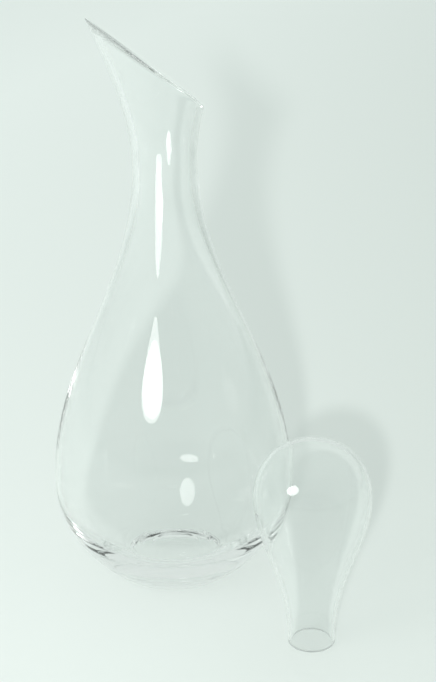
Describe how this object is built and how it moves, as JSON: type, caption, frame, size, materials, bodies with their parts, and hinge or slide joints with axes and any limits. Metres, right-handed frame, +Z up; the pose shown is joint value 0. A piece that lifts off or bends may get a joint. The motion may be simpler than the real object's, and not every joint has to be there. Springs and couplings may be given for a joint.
{
  "type": "wine decanter",
  "caption": "Pear-shaped clear glass decanter with a narrow neck and a slanted pouring lip, and its hollow balloon stopper standing beside it.",
  "frame": {"origin": "centre of the decanter's base ring, on the table", "axes": "+Z up along the decanter's axis; the pouring tip points along -X, turned 4 degrees towards the front (-Y); the stopper stands towards +X and -Y"},
  "size_m": [0.1598, 0.2078, 0.3417],
  "materials": {
    "decanter_glass": "clear blown glass, fire-polished lip",
    "stopper_glass": "clear blown glass, fire-polished open end"
  },
  "bodies": {
    "decanter": {"decanter": "decanter_glass"},
    "stopper": {"stopper": "stopper_glass"}
  },
  "joints": [
    {"name": "stopper_lift", "type": "slide", "parent": "decanter", "child": "stopper", "axis": [0, 0, 1], "range_m": [0, 0.35]}
  ]
}
